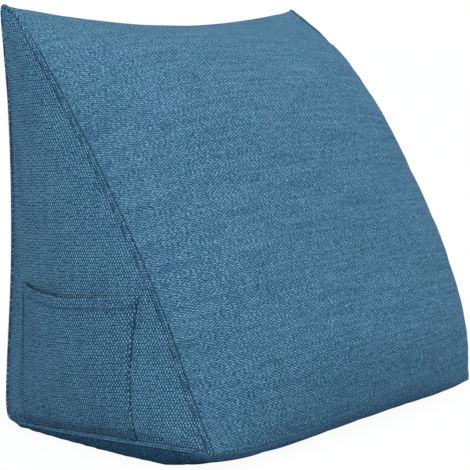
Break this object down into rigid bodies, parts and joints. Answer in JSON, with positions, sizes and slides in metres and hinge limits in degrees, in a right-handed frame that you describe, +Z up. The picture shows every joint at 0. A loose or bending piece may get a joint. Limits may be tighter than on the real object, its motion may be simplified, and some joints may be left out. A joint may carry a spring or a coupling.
{
  "type": "wedge back pillow",
  "caption": "Upright wedge back pillow in blue linen-look cloth, with a crowned leaning slope, topstitched side seams and a patch pocket on one side.",
  "frame": {"origin": "on the floor under the middle of the pillow's width, halfway between the furthest points of its slope and its back", "axes": "+Z up, X across the width with the pocket on the -X side, the leaning slope faces -Y and the upright back faces +Y"},
  "size_m": [0.5027, 0.3241, 0.4131],
  "materials": {
    "body_cloth": "matte woven linen-look upholstery cloth",
    "pocket_cloth": "the same cloth, in the pocket's slightly deeper shade"
  },
  "bodies": {
    "root": {"wedge_cushion": "body_cloth", "side_pocket": "pocket_cloth"}
  },
  "joints": []
}
